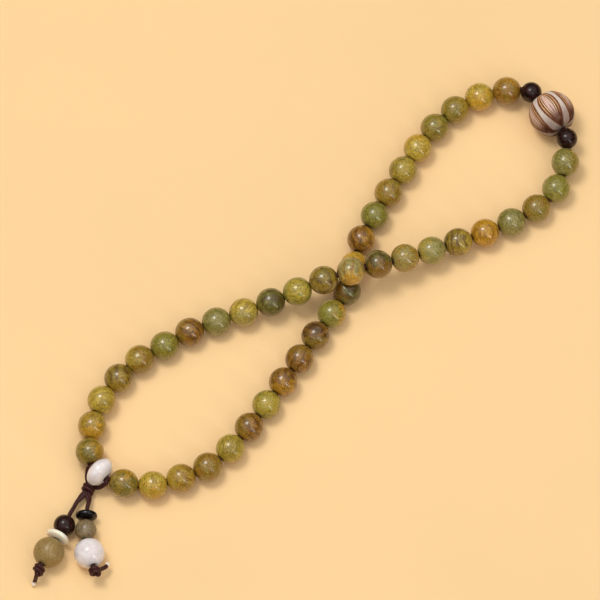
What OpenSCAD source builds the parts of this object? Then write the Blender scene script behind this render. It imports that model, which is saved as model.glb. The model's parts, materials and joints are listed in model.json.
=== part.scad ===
// Strand of forty-four green wood beads closed by a quartz guru bead and a carved
// lotus bead, laid on a table as a figure eight, with a knotted two-leg pendant.
// Units are millimetres, +Z is up and z = 0 is the table. The origin is under the
// middle of the bead layout, and +X runs from the pendant to the lotus bead.

/* [Strand beads] */
// Diameter of each green wood bead
bead_d = 8; // [7.7:0.1:8]
// Diameter of the hole through a wood bead
bead_bore_d = 1.9; // [1.8:0.1:2.2]
// Diameter of the two dark spacer beads
spacer_d = 6; // [5.6:0.1:6]
// Largest diameter of the carved lotus bead
lotus_d = 13; // [12:0.1:13]
// Length of the lotus bead between its two flat ends
lotus_len = 11.2; // [11:0.1:11.2]
// Diameter of the quartz guru bead
guru_d = 8.6; // [8:0.1:8.6]
// Thickness of the guru bead along its hole
guru_t = 5.8; // [5.4:0.1:5.8]
// Diameter of the guru bead's hole, which two cords share
guru_bore_d = 2.8; // [2.6:0.1:3]

/* [Pendant] */
// Diameter of the two large round pendant beads
large_d = 8.5; // [8:0.1:8.5]
// Diameter of the two small round pendant beads
small_d = 6; // [5.6:0.1:6]
// Diameter of the hole through every pendant piece
pendant_bore_d = 1.8; // [1.6:0.1:2]
// Diameter of the pale disc between the beads of the left leg
disc_d = 6.6; // [6:0.1:6.6]
// Thickness of the pale disc
disc_t = 1.8; // [1.5:0.1:1.8]
// Diameter of the black rondelle on the right leg
rondelle_d = 6; // [5.6:0.1:6]
// Thickness of the black rondelle
rondelle_t = 2.3; // [2:0.1:2.3]
// Distance between two pieces of a pendant leg
leg_gap = 0.15; // [0.1:0.05:0.2]

/* [Cord] */
// Diameter of the waxed cord
cord_d = 1.2; // [1:0.1:1.2]
// Diameter of the main knot under the guru bead
main_knot_d = 3.6; // [3.2:0.1:3.6]
// Diameter of the knot that ends each leg
end_knot_d = 3.2; // [3:0.1:3.2]

/* [Hidden] */
$fn = 64;

// Wood beads are numbered along the cord, from the guru bead's left side round to
// its right side. The lotus bead and its spacers sit between numbers 22 and 23.
bead_count = 44;
beads_before_lotus = 22;

// The cord's route round the figure eight, starting in the guru bead. The last
// point joins the first.
loop_route = [
    [-71, 6.5, 6],
    [-68.5, 13, 4.5],
    [-63, 18, 4],
    [-55.5, 22, 4],
    [-47.5, 23.5, 4],
    [-39.5, 23.5, 4],
    [-31.5, 21.5, 4],
    [-23.5, 19.5, 4],
    [-9, 13, 4.5],
    [5, 6, 7.5],
    [12, 2.5, 10],
    [19, -1.5, 11.5],
    [26.5, -5, 10],
    [34, -8.5, 8],
    [49.5, -15, 5],
    [65, -21, 4],
    [73.5, -23, 4],
    [81.5, -22.5, 4.5],
    [89, -18.5, 5.5],
    [94.5, -13, 6.5],
    [96, -5, 6.5],
    [96.5, 3.5, 6],
    [92, 9, 4.5],
    [85.5, 13, 4],
    [77, 15, 4],
    [69, 15, 4],
    [54, 12, 4],
    [39, 8, 4],
    [31, 5.5, 4],
    [17.5, -2.5, 4],
    [2, -6, 4],
    [-14.5, -9.5, 4],
    [-31, -12.5, 4],
    [-39.5, -13.5, 4],
    [-48, -13, 4],
    [-56, -10, 4],
    [-63, -6, 4],
    [-68, -0.5, 4.5],
];
route_steps = 12;

function unit(v) = v / norm(v);
function wrap(list, i) = list[(i + len(list)) % len(list)];
function total(list) = [for (v = list) 1] * list;

// Slope of the route at its point i, weighted by the two spans' lengths
function route_slope(i) =
    let (
        before = wrap(loop_route, i) - wrap(loop_route, i - 1),
        after = wrap(loop_route, i + 1) - wrap(loop_route, i),
        a = norm(before),
        b = norm(after)
    )
    (before / a * b + after / b * a) / (a + b);

// Point at the share t of the span that starts at point i
function route_point(i, t) =
    let (
        p = wrap(loop_route, i),
        q = wrap(loop_route, i + 1),
        span = norm(q - p)
    )
    p * (2 * t ^ 3 - 3 * t ^ 2 + 1)
    + q * (3 * t ^ 2 - 2 * t ^ 3)
    + route_slope(i) * span * (t ^ 3 - 2 * t ^ 2 + t)
    + route_slope(i + 1) * span * (t ^ 3 - t ^ 2);

route_fine = [
    for (i = [0 : len(loop_route) - 1])
        for (j = [0 : route_steps - 1])
            route_point(i, j / route_steps),
    loop_route[0],
];
route_at = [
    for (i = 0, s = 0; i < len(route_fine);
         s = s + (i + 1 < len(route_fine) ? norm(route_fine[i + 1] - route_fine[i]) : 0), i = i + 1)
        s
];
route_length = route_at[len(route_at) - 1];

// Cord length that the guru and lotus beads take up, with room for the bends beside them
seat_room = 0.5;
guru_seat = guru_t + seat_room;
lotus_seat = lotus_len + seat_room;
far_beads = bead_count - beads_before_lotus;
lotus_place = beads_before_lotus + 2;

// Length and radius of every piece on the loop, in cord order: the guru bead, the
// first wood beads, spacer, lotus bead, spacer, and the other wood beads
strand_len = [
    guru_seat,
    for (i = [1 : beads_before_lotus]) bead_d,
    spacer_d, lotus_seat, spacer_d,
    for (i = [1 : far_beads]) bead_d,
];
strand_r = [
    guru_d / 2,
    for (i = [1 : beads_before_lotus]) bead_d / 2,
    spacer_d / 2, lotus_d / 2, spacer_d / 2,
    for (i = [1 : far_beads]) bead_d / 2,
];
strand_count = len(strand_len);

// Most pieces stand this far apart, and the cord's slack shows beside these places
tight_gap = 0.1;
loose_places = [0, 13, 14, 15, 16, 17, 18, 19, 20, 21, 25, 33, 34, 38, 39, 40, 41, 42, 43, 47];
slack = (route_length - total(strand_len) - tight_gap * strand_count) / len(loose_places);

function gap_after(k) = tight_gap + (len(search(k, loose_places)) > 0 ? slack : 0);

function bead_place(number) = number <= beads_before_lotus ? number : number + 3;

strand_at = [
    for (k = 0, s = 0; k < strand_count;
         s = s + (strand_len[k] + wrap(strand_len, k + 1)) / 2 + gap_after(k), k = k + 1)
        s
];

function route_xyz(s) = [
    for (axis = [0 : 2])
        lookup(s, [for (i = [0 : len(route_at) - 1]) [route_at[i], route_fine[i][axis]]])
];

strand_centre = [
    for (k = [0 : strand_count - 1])
        let (p = route_xyz(strand_at[k]))
            [p.x, p.y, max(p.z, strand_r[k])]
];
strand_lean = [
    for (k = [0 : strand_count - 1])
        unit(unit(wrap(strand_centre, k + 1) - strand_centre[k])
            + unit(strand_centre[k] - wrap(strand_centre, k - 1)))
];

// Where the cord bends between piece k and the next one
function bend_point(k) =
    let (
        p = wrap(strand_centre, k),
        q = wrap(strand_centre, k + 1),
        u = wrap(strand_lean, k),
        v = wrap(strand_lean, k + 1),
        way = unit(q - p),
        room = norm(q - p) - (wrap(strand_len, k) + wrap(strand_len, k + 1)) / 2,
        from_p = (wrap(strand_len, k) + room) / 2 / (u * way),
        from_q = (wrap(strand_len, k + 1) + room) / 2 / (v * way)
    )
    (p + u * from_p + q - v * from_q) / 2;

strand_bend = [for (k = [0 : strand_count - 1]) bend_point(k)];
strand_axis = [
    for (k = [0 : strand_count - 1])
        unit(strand_bend[k] - wrap(strand_bend, k - 1))
];

// The strand folds about two lines, each through a bend of the upper strand and a
// bend of the lower strand just past the crossing. The cord is parted there, and its
// ends stand a little apart.
upper_folds = [13, 14];
lower_folds = [34, 33];
cord_end_gap = 0.12;
cord_sides = 8;

// Left leg: the cord runs from the main knot through bead, disc and bead to the end
// knot, and its tail from there to the cut end
left_leg_route = [
    [-78, 6.4, 1.9],
    [-85.4, 3.9, 2.8],
    [-102.6, -2, 5],
];
left_tail_route = [
    [-102.6, -2, 5],
    [-103.7, -2.4, 3.6],
    [-104.7, -2.6, 2],
    [-105.7, -2.8, 0.8],
];
// Right leg: the same, with a bend between the olive bead and the quartz bead
right_leg_route = [
    [-77.2, 4.3, 2.1],
    [-81, 1.5, 3],
    [-87.2, -4.4, 3.4],
    [-92.1, -13.4, 5.5],
];
right_tail_route = [
    [-92.1, -13.4, 5.5],
    [-90.4, -14.1, 4.8],
    [-89, -14, 3.8],
    [-87.6, -13.6, 2.7],
];
// The two strands of the yoke, from the guru bead's mouths to the main knot
yoke_front_route = [
    [-73.2, 3.1, 5.3],
    [-74.6, 3.6, 4.4],
    [-75.6, 4.6, 3],
    [-75.8, 6.3, 1.9],
];
yoke_back_route = [
    [-73.2, 9.9, 5.3],
    [-74.7, 9.5, 4.3],
    [-75.7, 8.2, 3],
    [-75.8, 6.3, 1.9],
];
main_knot_at = [-75.8, 6.3, 1.9];

// Free cord on the left leg before its first piece. On the right leg the first piece
// starts at the route's second point.
left_free = 7.8;
left_way = unit(left_leg_route[2] - left_leg_route[0]);
right_way = unit(right_leg_route[2] - right_leg_route[1]);
quartz_way = unit(right_leg_route[3] - right_leg_route[2]);
left_small_at = left_leg_route[0] + left_way * (left_free + small_d / 2);
left_disc_at = left_small_at + left_way * (small_d / 2 + leg_gap + disc_t / 2);
left_large_at = left_disc_at + left_way * (disc_t / 2 + leg_gap + large_d / 2);
rondelle_at = right_leg_route[1] + right_way * rondelle_t / 2;
right_small_at = rondelle_at + right_way * (rondelle_t / 2 + leg_gap + small_d / 2);
quartz_at = right_leg_route[2] + quartz_way * (large_d / 2 + leg_gap);

// Middle of the bead layout's box, which becomes the origin
function side_of(axis, way) = [
    for (k = [0 : strand_count - 1]) strand_centre[k][axis] + way * strand_r[k]
];
low_x = left_large_at.x - large_d / 2;
high_x = max(side_of(0, 1));
low_y = min(side_of(1, -1));
high_y = max(side_of(1, 1));
origin_at = [(low_x + high_x) / 2, (low_y + high_y) / 2, 0];

function bead_name(number) = str("wood_bead_", number < 10 ? "0" : "", number);

// Turns +Z towards a direction and moves the origin to a point of the layout.
module stand(at, way) {
    translate(at - origin_at)
        rotate([0, acos(way.z), atan2(way.y, way.x)])
            children();
}

// A straight hole along Z with a shallow cone at both mouths of a piece
module bore(hole_d, length, mouth) {
    cylinder(d = hole_d, h = length + 2, center = true);
    for (end = [0, 1])
        mirror([0, 0, end])
            translate([0, 0, length / 2 - mouth])
                cylinder(d1 = hole_d, d2 = hole_d + 2 * (mouth + 1), h = mouth + 1);
}

module round_bead(d, hole_d) {
    pole = d / 2 - (d - sqrt(d ^ 2 - hole_d ^ 2)) / 2;
    difference() {
        sphere(d = d);
        bore(hole_d, 2 * pole, 0.25);
    }
}

// Half outline of a cushion-shaped piece: power 2 is an ellipse, a higher power is
// squarer. rotate_extrude turns it about the hole.
module cushion(d, t, power, hole_d) {
    steps = 24;
    outline = [
        for (i = [0 : steps])
            let (a = 90 - 180 * i / steps, x = cos(a), y = sin(a))
                [d / 2 * abs(x) ^ (2 / power), t / 2 * sign(y) * abs(y) ^ (2 / power)]
    ];
    difference() {
        rotate_extrude() polygon(outline);
        bore(hole_d, t, 0.15);
    }
}

// Cord through a list of points. Ring i lies in the plane that halves the bend at
// point i.
module cord_tube(points) {
    count = len(points);
    last = count - 1;
    ways = [
        for (i = [0 : last])
            unit((i < last ? unit(points[i + 1] - points[i]) : [0, 0, 0])
                + (i > 0 ? unit(points[i] - points[i - 1]) : [0, 0, 0]))
    ];
    rings = [
        for (i = [0 : last])
            let (side = unit(cross(ways[i], [0, 0, 1])), top = cross(side, ways[i]))
                for (j = [0 : cord_sides - 1])
                    let (a = 360 * (j + 0.5) / cord_sides)
                        points[i] - origin_at + cord_d / 2 * (side * cos(a) + top * sin(a))
    ];
    walls = [
        for (i = [0 : last - 1])
            for (j = [0 : cord_sides - 1])
                let (k = (j + 1) % cord_sides, a = i * cord_sides, b = a + cord_sides)
                    [a + j, a + k, b + k, b + j]
    ];
    start = [[for (j = [cord_sides - 1 : -1 : 0]) j]];
    end = [[for (j = [0 : cord_sides - 1]) last * cord_sides + j]];
    polyhedron(points = rings, faces = concat(walls, start, end), convexity = 6);
}

// The points of a strand with both ends drawn back from the folds they meet
function drawn_back(points) =
    let (last = len(points) - 1)
    [
        points[0] + unit(points[1] - points[0]) * cord_end_gap,
        for (i = [1 : 1 : last - 1]) points[i],
        points[last] + unit(points[last - 1] - points[last]) * cord_end_gap,
    ];

module wood_bead(number) {
    k = bead_place(number);
    color(number % 3 == 0 ? "olivedrab" : "darkolivegreen")
        stand(strand_centre[k], strand_axis[k]) round_bead(bead_d, bead_bore_d);
}

module spacer_bead(k) {
    color("#2a1512") stand(strand_centre[k], strand_axis[k]) round_bead(spacer_d, bead_bore_d);
}

module lotus_bead() {
    k = lotus_place;
    color("antiquewhite")
        stand(strand_centre[k], strand_axis[k])
            difference() {
                intersection() {
                    sphere(d = lotus_d);
                    cylinder(d = lotus_d, h = lotus_len, center = true);
                }
                bore(bead_bore_d, lotus_len, 0.3);
            }
}

module guru_bead() {
    color("ghostwhite") stand(strand_centre[0], strand_axis[0]) cushion(guru_d, guru_t, 2, guru_bore_d);
}

module strand_cord_near() {
    color("#3c1c18")
        cord_tube(drawn_back([
            for (k = [lower_folds[0] : strand_count - 1]) strand_bend[k],
            for (k = [0 : upper_folds[0]]) strand_bend[k],
        ]));
}

module strand_cord_link() {
    color("#3c1c18") {
        cord_tube(drawn_back([for (k = upper_folds) strand_bend[k]]));
        cord_tube(drawn_back([for (k = lower_folds) strand_bend[k]]));
    }
}

module strand_cord_far() {
    color("#3c1c18")
        cord_tube(drawn_back([for (k = [upper_folds[1] : lower_folds[1]]) strand_bend[k]]));
}

module yoke_cord() {
    color("#3c1c18") {
        cord_tube(yoke_front_route);
        cord_tube(yoke_back_route);
        knot(main_knot_at, main_knot_d);
    }
}

// A knot pulled tight, as a ball with flats like the cord's
module knot(at, d) {
    translate(at - origin_at) sphere(d = d, $fn = 12);
}

module leg_cord(route, tail) {
    color("#3c1c18") {
        cord_tube(route);
        knot(tail[0], end_knot_d);
        cord_tube(tail);
    }
}

module left_leg_cord() {
    leg_cord(left_leg_route, left_tail_route);
}

module right_leg_cord() {
    leg_cord(right_leg_route, right_tail_route);
}

module pendant_rosewood_bead() {
    color("#3a0f10") stand(left_small_at, left_way) round_bead(small_d, pendant_bore_d);
}

module pendant_shell_disc() {
    color("ivory") stand(left_disc_at, left_way) cushion(disc_d, disc_t, 4, pendant_bore_d);
}

module pendant_green_bead() {
    color("#7c7a3a") stand(left_large_at, left_way) round_bead(large_d, pendant_bore_d);
}

module pendant_black_rondelle() {
    color("#101010") stand(rondelle_at, right_way) cushion(rondelle_d, rondelle_t, 2.5, pendant_bore_d);
}

module pendant_olive_bead() {
    color("#6f6848") stand(right_small_at, right_way) round_bead(small_d, pendant_bore_d);
}

module pendant_quartz_bead() {
    color("ghostwhite") stand(quartz_at, quartz_way) round_bead(large_d, pendant_bore_d);
}

for (number = [1 : bead_count])
    wood_bead(number);
spacer_bead(lotus_place - 1);  // spacer_bead_right
lotus_bead();
spacer_bead(lotus_place + 1);  // spacer_bead_left
guru_bead();
pendant_rosewood_bead();
pendant_shell_disc();
pendant_green_bead();
pendant_black_rondelle();
pendant_olive_bead();
pendant_quartz_bead();
strand_cord_near();
strand_cord_link();
strand_cord_far();
yoke_cord();
left_leg_cord();
right_leg_cord();
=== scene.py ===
import json
import math
import random

import bpy
from mathutils import Matrix, Vector, noise
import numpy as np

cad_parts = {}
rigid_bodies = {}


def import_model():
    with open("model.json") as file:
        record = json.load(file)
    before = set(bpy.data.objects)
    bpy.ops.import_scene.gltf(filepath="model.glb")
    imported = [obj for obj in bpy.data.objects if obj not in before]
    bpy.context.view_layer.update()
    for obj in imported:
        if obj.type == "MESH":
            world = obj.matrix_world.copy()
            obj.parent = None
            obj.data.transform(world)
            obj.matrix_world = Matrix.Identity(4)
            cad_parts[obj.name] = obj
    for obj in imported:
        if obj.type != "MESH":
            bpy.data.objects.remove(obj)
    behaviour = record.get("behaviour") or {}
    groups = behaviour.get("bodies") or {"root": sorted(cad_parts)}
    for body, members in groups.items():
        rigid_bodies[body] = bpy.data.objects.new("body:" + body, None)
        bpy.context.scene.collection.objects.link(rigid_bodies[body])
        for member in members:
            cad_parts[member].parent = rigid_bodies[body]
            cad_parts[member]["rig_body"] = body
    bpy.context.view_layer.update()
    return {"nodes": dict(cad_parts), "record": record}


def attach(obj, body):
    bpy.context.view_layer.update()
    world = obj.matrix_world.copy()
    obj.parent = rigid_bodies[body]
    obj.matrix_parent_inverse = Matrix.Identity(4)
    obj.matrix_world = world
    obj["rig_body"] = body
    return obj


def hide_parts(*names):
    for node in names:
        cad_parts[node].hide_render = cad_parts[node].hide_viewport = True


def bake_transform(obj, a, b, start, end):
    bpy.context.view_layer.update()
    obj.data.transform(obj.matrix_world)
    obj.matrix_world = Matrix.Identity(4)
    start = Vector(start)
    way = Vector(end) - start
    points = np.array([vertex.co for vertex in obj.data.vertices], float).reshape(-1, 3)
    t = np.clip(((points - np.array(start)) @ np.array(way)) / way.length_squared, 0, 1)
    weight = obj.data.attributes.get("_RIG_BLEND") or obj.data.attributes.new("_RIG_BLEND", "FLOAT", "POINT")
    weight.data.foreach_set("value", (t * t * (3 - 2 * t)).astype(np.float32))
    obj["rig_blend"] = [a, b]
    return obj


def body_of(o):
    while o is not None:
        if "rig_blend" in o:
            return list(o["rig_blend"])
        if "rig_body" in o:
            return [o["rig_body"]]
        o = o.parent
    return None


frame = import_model()

bl_info = {
    "name": "Misbaha prayer beads",
    "version": (1, 0, 0),
    "blender": (4, 5, 0),
    "location": "3D View > Sidebar > Misbaha",
    "description": "Dresses the packed strand of prayer beads: beads, carved lotus bead, cords",
    "category": "Object",
}

MM = 0.001
BEAD_COUNT = 44
BEADS_BEFORE_LOTUS = 22
UPPER_CROSSING = (13, 14, 15)
LOWER_CROSSING = (33, 34, 35)
JOINTS = {joint["name"]: joint for joint in frame["record"]["behaviour"]["joints"]}
UP = Vector((0, 0, 1))


# ---------------------------------------------------------------- places from the frame

def hole_of(node):
    """Middle of a piece and the direction of its hole, as its spin joint gives them."""
    joint = JOINTS["spin_" + node]
    return Vector(joint["pos_m"]), Vector(joint["axis"]).normalized()


def size_of(node):
    """Diameter across the hole and length along it, measured on the CAD node."""
    middle, way = hole_of(node)
    along = []
    across = []
    for vertex in frame["nodes"][node].data.vertices:
        arm = vertex.co - middle
        along.append(arm.dot(way))
        across.append((arm - way * arm.dot(way)).length)
    return 2 * max(across), max(along) - min(along)


def bead_name(number):
    return f"wood_bead_{number:02d}"


def room_beside(name):
    """Smallest gap between a piece of the strand and the two pieces next to it."""
    place = STRAND.index(name)
    middle = hole_of(name)[0]
    return min(
        (hole_of(other)[0] - middle).length - size_of(name)[1] / 2 - size_of(other)[1] / 2
        for other in (STRAND[place - 1], STRAND[(place + 1) % len(STRAND)])
    )


WOOD_BEADS = [bead_name(number) for number in range(1, BEAD_COUNT + 1)]
STRAND = (
    ["guru_bead"]
    + WOOD_BEADS[:BEADS_BEFORE_LOTUS]
    + ["spacer_bead_right", "lotus_bead", "spacer_bead_left"]
    + WOOD_BEADS[BEADS_BEFORE_LOTUS:]
)


def paint(red, green, blue):
    """A screen colour from 0 to 255 as the linear colour that Blender's sockets hold."""
    def linear(value):
        share = value / 255
        return share / 12.92 if share <= 0.04045 else ((share + 0.055) / 1.055) ** 2.4
    return linear(red), linear(green), linear(blue)


# ---------------------------------------------------------------- settings

def colour_setting(name, description, default):
    return bpy.props.FloatVectorProperty(
        name=name, description=description, subtype="COLOR", size=3, min=0, max=1, default=default
    )


def length_setting(name, description, default):
    return bpy.props.FloatProperty(
        name=name, description=description, unit="LENGTH", precision=5, min=0, default=default
    )


class MISBAHA_PG_wood(bpy.types.PropertyGroup):
    """Tones of the green wood and how far a turned bead is from a true ball."""
    olive: colour_setting("Olive", "Plain olive wood", paint(150, 122, 38))
    gold: colour_setting("Gold", "Golden olive wood", paint(172, 136, 39))
    moss: colour_setting("Moss", "Middle green wood", paint(135, 124, 48))
    leaf: colour_setting("Leaf", "Bright green wood", paint(143, 134, 44))
    lime: colour_setting("Lime", "Pale yellow-green wood", paint(197, 167, 60))
    sage: colour_setting("Sage", "Grey-green wood", paint(160, 148, 84))
    pine: colour_setting("Pine", "Dark green wood", paint(101, 94, 35))
    ochre: colour_setting("Ochre", "Ochre wood", paint(194, 142, 32))
    amber: colour_setting("Amber", "Yellow-orange wood", paint(213, 156, 35))
    bark: colour_setting("Bark", "Brown wood", paint(151, 102, 24))
    umber: colour_setting("Umber", "Dark brown wood", paint(80, 47, 10))
    wobble: length_setting("Wobble", "Unevenness of a hand-turned bead", 0.04 * MM)
    closing: length_setting("Closing", "Most that a bead grows to close a gap", 0.12 * MM)
    mouth: length_setting("Mouth", "Rounding of a bead's edge at its hole", 0.13 * MM)


class MISBAHA_PG_stones(bpy.types.PropertyGroup):
    """Colours of the pieces that aren't green wood."""
    rosewood: colour_setting("Rosewood", "Dark rosewood", paint(46, 19, 15))
    quartz: colour_setting("Quartz", "Milky quartz", paint(244, 236, 236))
    shell: colour_setting("Shell", "Cream-white shell disc", paint(255, 251, 236))
    black: colour_setting("Black stone", "Black rondelle", paint(6, 5, 6))
    smoky: colour_setting("Smoky stone", "Olive-grey stone", paint(140, 122, 88))
    seed: colour_setting("Seed", "Pale skin of the carved seed", paint(232, 218, 206))
    tan: colour_setting("Tan", "Scorched tan of the carving", paint(230, 180, 126))
    burn: colour_setting("Burn", "Burnt line of the carving", paint(66, 14, 2))


class MISBAHA_PG_cord(bpy.types.PropertyGroup):
    """The waxed cord."""
    diameter: length_setting("Diameter", "Diameter of the waxed cord", 1.2 * MM)
    knot_squeeze: bpy.props.FloatProperty(
        name="Knot squeeze",
        description="The cord's width inside a tight knot, as a share of its free width",
        subtype="FACTOR", min=0.5, max=1, default=0.86,
    )
    maroon: colour_setting("Maroon", "Waxed cord", paint(76, 32, 28))
    core: colour_setting("Core", "Cut end of the cord", paint(244, 228, 208))


class MISBAHA_PG_stage(bpy.types.PropertyGroup):
    """Floor, light and camera."""
    floor: colour_setting("Floor", "Pale warm floor", paint(252, 214, 158))
    key_power: bpy.props.FloatProperty(
        name="Key light", description="Power of the overhead softbox in watts",
        min=0, default=4.4,
    )
    strip_power: bpy.props.FloatProperty(
        name="Strip light", description="Power of the low strip light in watts",
        min=0, default=2.6,
    )
    sky: bpy.props.FloatProperty(
        name="Sky", description="Strength of the soft light from above", min=0, default=0.45,
    )
    distance: length_setting("Camera distance", "From the middle of the view", 1.5)
    width: length_setting("View width", "Width of the floor that the camera frames", 168.9 * MM)


# ---------------------------------------------------------------- node helpers

def add_socket(tree, name, kind, default=None, way="INPUT"):
    socket = tree.interface.new_socket(name, in_out=way, socket_type="NodeSocket" + kind)
    if default is not None:
        socket.default_value = default
    return socket


def add_node(tree, kind, inputs=None, **settings):
    """A node with its settings, and inputs that are plain values or other nodes' outputs."""
    node = tree.nodes.new(kind)
    for name, value in settings.items():
        setattr(node, name, value)
    for key, value in (inputs or {}).items():
        if isinstance(value, bpy.types.NodeSocket):
            tree.links.new(value, node.inputs[key])
        else:
            node.inputs[key].default_value = value
    return node


def calculate(tree, operation, *values):
    return add_node(tree, "ShaderNodeMath", dict(enumerate(values)), operation=operation).outputs[0]


def times(tree, first, second):
    return calculate(tree, "MULTIPLY", first, second)


def plus(tree, first, second):
    return calculate(tree, "ADD", first, second)


def minus(tree, first, second):
    return calculate(tree, "SUBTRACT", first, second)


def vector_calculate(tree, operation, *values):
    node = add_node(tree, "ShaderNodeVectorMath", dict(enumerate(values)), operation=operation)
    return node.outputs["Value" if operation in ("DOT_PRODUCT", "LENGTH") else "Vector"]


def scaled(tree, vector, factor):
    node = add_node(tree, "ShaderNodeVectorMath", {0: vector, "Scale": factor}, operation="SCALE")
    return node.outputs["Vector"]


def eased(tree, value, low, high, start=0.0, end=1.0):
    """Goes smoothly from start to end as the value goes from low to high."""
    node = add_node(
        tree, "ShaderNodeMapRange",
        {"Value": value, "From Min": low, "From Max": high, "To Min": start, "To Max": end},
        interpolation_type="SMOOTHSTEP",
    )
    return node.outputs["Result"]


def blended(tree, factor, first, second, blend_type="MIX"):
    node = add_node(
        tree, "ShaderNodeMix", {0: factor, 6: first, 7: second},
        data_type="RGBA", blend_type=blend_type,
    )
    return node.outputs[2]


def noise_of(tree, vector, scale, detail=2.0, roughness=0.5, distortion=0.0):
    node = add_node(
        tree, "ShaderNodeTexNoise",
        {"Vector": vector, "Scale": scale, "Detail": detail, "Roughness": roughness,
         "Distortion": distortion},
    )
    return node.outputs["Fac"]


def opaque(colour):
    return (*colour[:3], 1.0)


def tone(red, green, blue):
    return opaque(paint(red, green, blue))


# ---------------------------------------------------------------- geometry trees

def turned_tree():
    """Turns a half outline round the hole. The outline is measured from the hole's wall."""
    tree = bpy.data.node_groups.new("Turned on a lathe", "GeometryNodeTree")
    add_socket(tree, "Outline", "Geometry")
    add_socket(tree, "Hole Diameter", "Float", 1.9 * MM)
    add_socket(tree, "Sides", "Int", 64)
    add_socket(tree, "Wobble", "Float", 0.0)
    add_socket(tree, "Seed", "Float", 0.0)
    add_socket(tree, "Bead", "Geometry", way="OUTPUT")
    given = add_node(tree, "NodeGroupInput").outputs
    outline = add_node(tree, "GeometryNodeMeshToCurve", {0: given["Outline"]})
    radius = calculate(tree, "DIVIDE", given["Hole Diameter"], 2.0)
    wall = add_node(
        tree, "GeometryNodeCurvePrimitiveCircle", {"Resolution": given["Sides"], "Radius": radius}
    )
    turned = add_node(
        tree, "GeometryNodeCurveToMesh", {"Curve": wall.outputs[0], "Profile Curve": outline.outputs[0]}
    )
    bumps = add_node(
        tree, "ShaderNodeTexNoise",
        {"W": given["Seed"], "Scale": 160.0, "Detail": 1.0}, noise_dimensions="4D",
    )
    amount = times(tree, minus(tree, bumps.outputs["Fac"], 0.5), given["Wobble"])
    offset = scaled(tree, add_node(tree, "GeometryNodeInputNormal").outputs[0], amount)
    moved = add_node(tree, "GeometryNodeSetPosition", {"Geometry": turned.outputs[0], "Offset": offset})
    smooth = add_node(tree, "GeometryNodeSetShadeSmooth", {"Geometry": moved.outputs[0]})
    add_node(tree, "NodeGroupOutput", {0: smooth.outputs[0]})
    return tree


def store(tree, geometry, name, value, data_type="FLOAT"):
    node = add_node(
        tree, "GeometryNodeStoreNamedAttribute",
        {"Geometry": geometry, "Name": name}, data_type=data_type, domain="POINT",
    )
    tree.links.new(value, node.inputs["Value"])
    return node.outputs[0]


def threaded_tree():
    """Puts a turned piece on the cord and writes what its material reads."""
    tree = bpy.data.node_groups.new("Threaded on the cord", "GeometryNodeTree")
    add_socket(tree, "Bead", "Geometry")
    add_socket(tree, "Place", "Vector")
    add_socket(tree, "Turn", "Vector")
    add_socket(tree, "Grain Turn", "Vector")
    add_socket(tree, "Grain Shift", "Vector")
    add_socket(tree, "Main Tone", "Color")
    add_socket(tree, "Vein Tone", "Color")
    add_socket(tree, "Patch Tone", "Color")
    add_socket(tree, "Patch Side", "Vector")
    add_socket(tree, "Material", "Material")
    add_socket(tree, "Piece", "Geometry", way="OUTPUT")
    given = add_node(tree, "NodeGroupInput").outputs
    here = scaled(tree, add_node(tree, "GeometryNodeInputPosition").outputs[0], 1 / MM)
    turned = add_node(tree, "FunctionNodeRotateVector", {0: here, 1: given["Grain Turn"]})
    grain = vector_calculate(tree, "ADD", turned.outputs[0], given["Grain Shift"])
    geometry = store(tree, given["Bead"], "bead_at", here, "FLOAT_VECTOR")
    geometry = store(tree, geometry, "grain_at", grain, "FLOAT_VECTOR")
    placed = add_node(
        tree, "GeometryNodeTransform",
        {"Geometry": geometry, "Translation": given["Place"], "Rotation": given["Turn"]},
    )
    arm = vector_calculate(
        tree, "SUBTRACT", add_node(tree, "GeometryNodeInputPosition").outputs[0], given["Place"]
    )
    side = vector_calculate(
        tree, "DOT_PRODUCT", vector_calculate(tree, "NORMALIZE", arm), given["Patch Side"]
    )
    geometry = store(tree, placed.outputs[0], "patch_side", side)
    geometry = store(tree, geometry, "main_tone", given["Main Tone"], "FLOAT_COLOR")
    geometry = store(tree, geometry, "vein_tone", given["Vein Tone"], "FLOAT_COLOR")
    geometry = store(tree, geometry, "patch_tone", given["Patch Tone"], "FLOAT_COLOR")
    real = add_node(tree, "GeometryNodeRealizeInstances", {0: geometry})
    done = add_node(
        tree, "GeometryNodeSetMaterial",
        {"Geometry": real.outputs[0], "Material": given["Material"]},
    )
    add_node(tree, "NodeGroupOutput", {0: done.outputs[0]})
    return tree


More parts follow.
